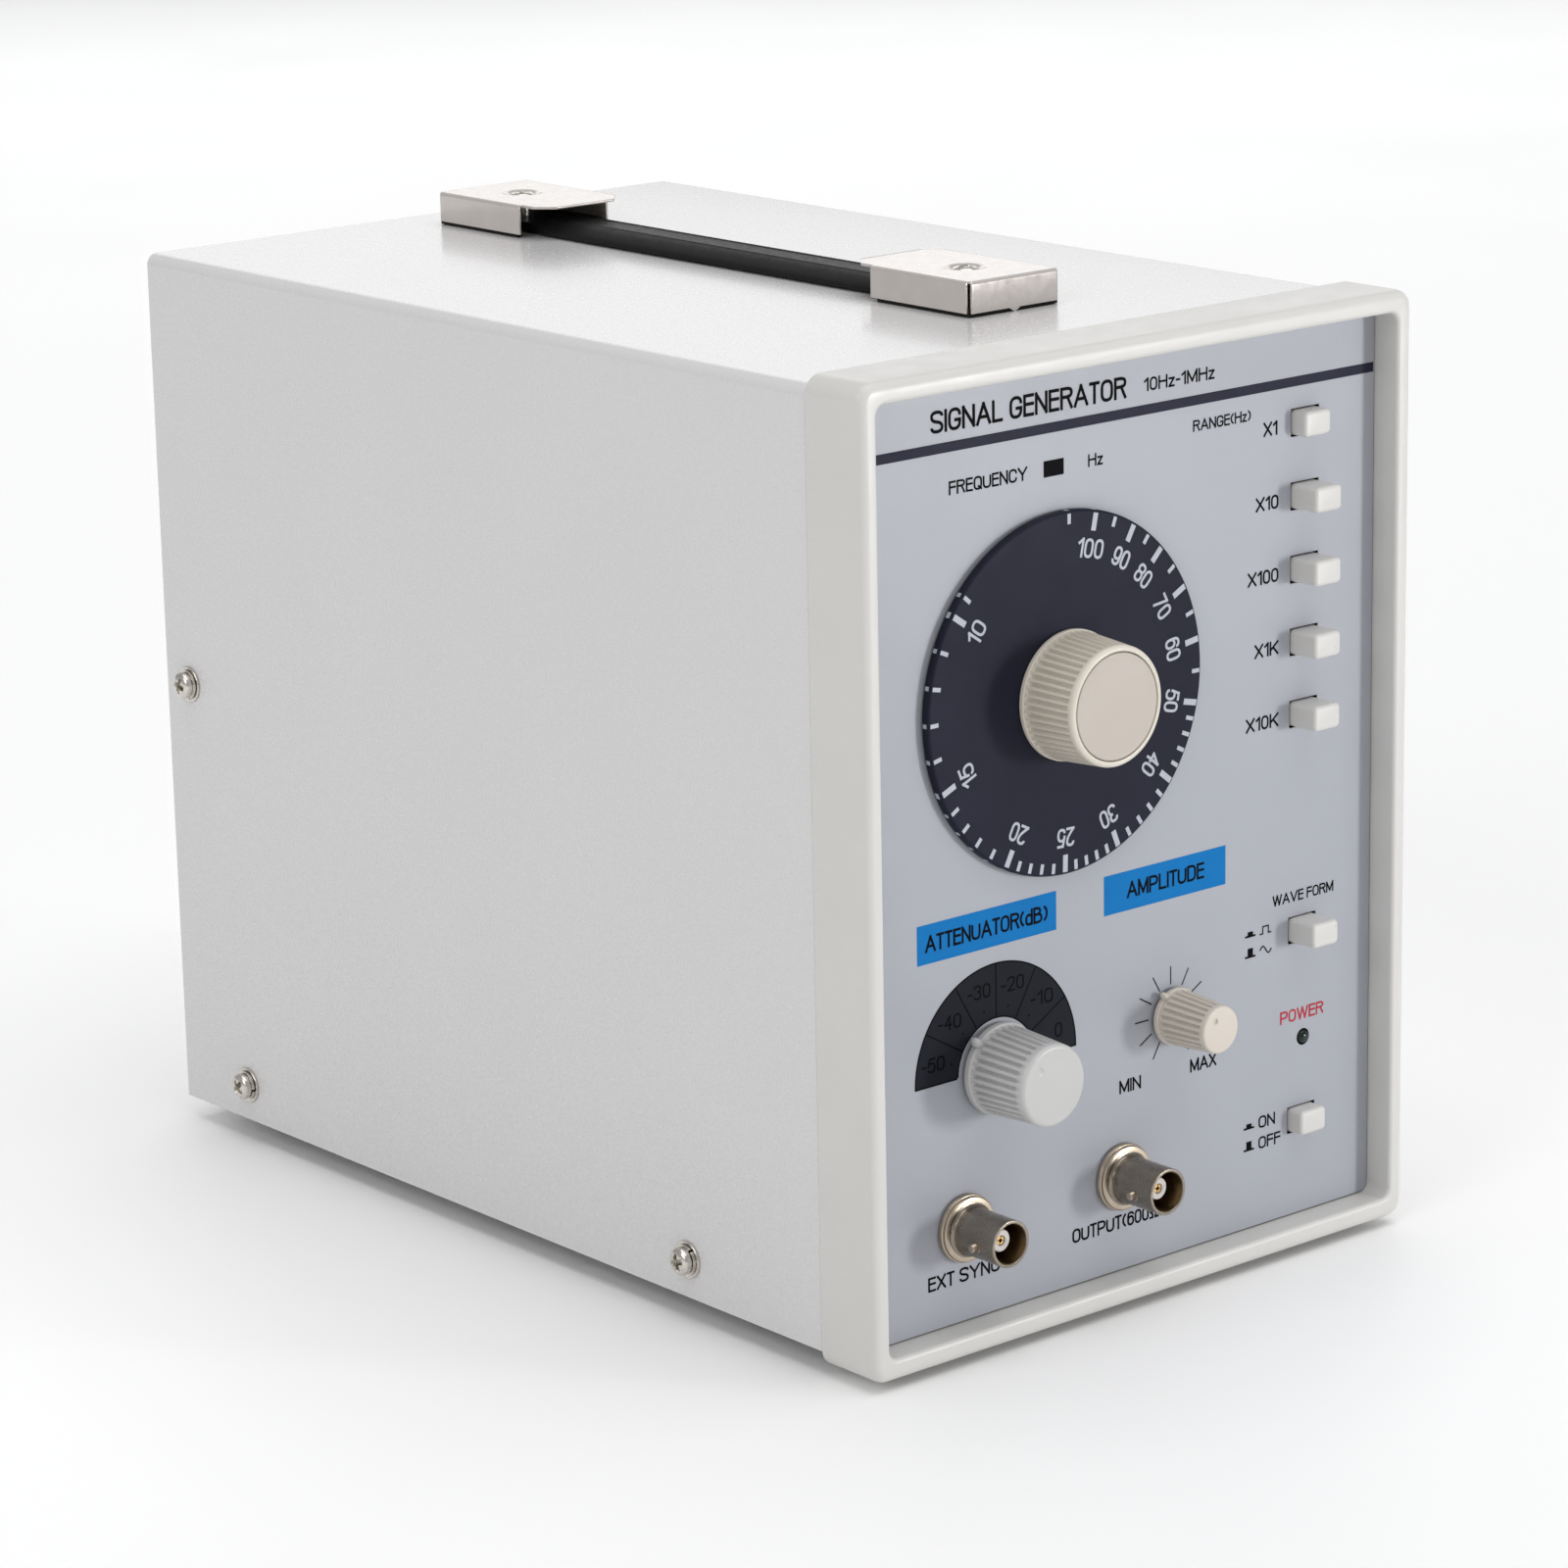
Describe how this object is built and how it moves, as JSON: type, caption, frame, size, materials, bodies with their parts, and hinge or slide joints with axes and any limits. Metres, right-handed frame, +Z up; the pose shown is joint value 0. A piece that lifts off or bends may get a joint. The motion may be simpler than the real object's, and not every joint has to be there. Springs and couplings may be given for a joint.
{
  "type": "function generator",
  "caption": "Bench audio function generator: upright steel case with strap handle, large frequency dial, attenuator and amplitude knobs, push-button ranges and coaxial outputs.",
  "frame": {"origin": "on the surface the feet stand on, under the middle of the whole instrument's box", "axes": "+X to the right as the front panel is seen, -Y out of the front panel, +Z up"},
  "size_m": [0.1536, 0.25, 0.2056],
  "materials": {
    "ivory_enamel": "fine orange-peel powder coat",
    "ivory_plastic": "satin moulded ABS",
    "panel_paint": "satin blue-grey panel paint with printed legends",
    "chassis_steel": "zinc-plated sheet",
    "slate_plastic": "dark slate, printed scale",
    "beige_plastic": "satin moulded",
    "white_plastic": "satin gloss moulded",
    "nickel": "nickel plate",
    "zinc": "zinc plate",
    "black_rubber": "matt",
    "black_plastic": "fine texture",
    "shaft_steel": "turned",
    "switch_grey": "moulded",
    "green_lens": "clear dark green lens",
    "dielectric": "white fluoropolymer",
    "gold": "gold plate",
    "board_green": "solder resist on glass epoxy",
    "core_steel": "dark varnished laminations",
    "winding_tape": "polyester tape"
  },
  "bodies": {
    "case": {"amplitude_potentiometer": "switch_grey", "attenuator_switch": "switch_grey", "base_pan": "chassis_steel", "cover": "ivory_enamel", "cover_screw_left_lower_front": "zinc", "cover_screw_left_lower_rear": "zinc", "cover_screw_left_upper_rear": "zinc", "cover_screw_right_lower_front": "zinc", "cover_screw_right_lower_rear": "zinc", "cover_screw_right_upper_rear": "zinc", "foot_front_left": "black_rubber", "foot_front_right": "black_rubber", "foot_rear_left": "black_rubber", "foot_rear_right": "black_rubber", "frequency_potentiometer": "switch_grey", "front_bezel": "ivory_plastic", "front_panel": "panel_paint", "handle_bracket_front": "nickel", "handle_bracket_rear": "nickel", "handle_screw_front": "zinc", "handle_screw_rear": "zinc", "main_board": "board_green", "mains_inlet": "black_plastic", "output_jack_contact": "gold", "output_jack_insulator": "dielectric", "output_jack_shell": "nickel", "power_led": "green_lens", "power_switch": "switch_grey", "range_switch_bank": "switch_grey", "rear_panel": "ivory_enamel", "sync_jack_contact": "gold", "sync_jack_insulator": "dielectric", "sync_jack_shell": "nickel", "transformer_core": "core_steel", "transformer_winding": "winding_tape", "waveform_switch": "switch_grey"},
    "dial": {"dial_disc": "slate_plastic", "dial_knob": "beige_plastic", "dial_knob_cap": "beige_plastic", "dial_shaft": "shaft_steel"},
    "attenuator": {"attenuator_knob": "white_plastic", "attenuator_shaft": "shaft_steel"},
    "amplitude": {"amplitude_knob": "beige_plastic", "amplitude_shaft": "shaft_steel"},
    "range_x1": {"range_x1_button": "white_plastic", "range_x1_plunger": "black_plastic"},
    "range_x10": {"range_x10_button": "white_plastic", "range_x10_plunger": "black_plastic"},
    "range_x100": {"range_x100_button": "white_plastic", "range_x100_plunger": "black_plastic"},
    "range_x1k": {"range_x1k_button": "white_plastic", "range_x1k_plunger": "black_plastic"},
    "range_x10k": {"range_x10k_button": "white_plastic", "range_x10k_plunger": "black_plastic"},
    "waveform": {"waveform_button": "white_plastic", "waveform_plunger": "black_plastic"},
    "power": {"power_button": "white_plastic", "power_plunger": "black_plastic"},
    "strap": {"handle_strap": "black_rubber"},
    "drawer": {"fuse_drawer": "black_plastic"}
  },
  "joints": [
    {"name": "dial_turn", "type": "hinge", "parent": "case", "child": "dial", "pos_m": [-0.018, -0.1082, 0.1307], "axis": [0, -1, 0], "range_deg": [0, 306]},
    {"name": "attenuator_turn", "type": "hinge", "parent": "case", "child": "attenuator", "pos_m": [-0.0357, -0.1082, 0.0577], "axis": [0, -1, 0], "range_deg": [-120, 30]},
    {"name": "amplitude_turn", "type": "hinge", "parent": "case", "child": "amplitude", "pos_m": [0.0124, -0.1082, 0.058], "axis": [0, -1, 0], "range_deg": [-186, 114]},
    {"name": "range_x1_press", "type": "slide", "parent": "case", "child": "range_x1", "axis": [0, 1, 0], "range_m": [-0.0032, 0.0005]},
    {"name": "range_x10_press", "type": "slide", "parent": "case", "child": "range_x10", "axis": [0, 1, 0], "range_m": [0, 0.0037], "stiffness_N_per_m": 400, "springref_m": -0.0015},
    {"name": "range_x100_press", "type": "slide", "parent": "case", "child": "range_x100", "axis": [0, 1, 0], "range_m": [0, 0.0037], "stiffness_N_per_m": 400, "springref_m": -0.0015},
    {"name": "range_x1k_press", "type": "slide", "parent": "case", "child": "range_x1k", "axis": [0, 1, 0], "range_m": [0, 0.0037], "stiffness_N_per_m": 400, "springref_m": -0.0015},
    {"name": "range_x10k_press", "type": "slide", "parent": "case", "child": "range_x10k", "axis": [0, 1, 0], "range_m": [0, 0.0037], "stiffness_N_per_m": 400, "springref_m": -0.0015},
    {"name": "waveform_press", "type": "slide", "parent": "case", "child": "waveform", "axis": [0, 1, 0], "range_m": [0, 0.0037], "stiffness_N_per_m": 400, "springref_m": -0.0015},
    {"name": "power_press", "type": "slide", "parent": "case", "child": "power", "axis": [0, 1, 0], "range_m": [-0.0032, 0.0005]},
    {"name": "strap_slide", "type": "slide", "parent": "case", "child": "strap", "axis": [0, 1, 0], "range_m": [-0.003, 0.003]},
    {"name": "drawer_slide", "type": "slide", "parent": "case", "child": "drawer", "axis": [0, 1, 0], "range_m": [0, 0.016]}
  ]
}
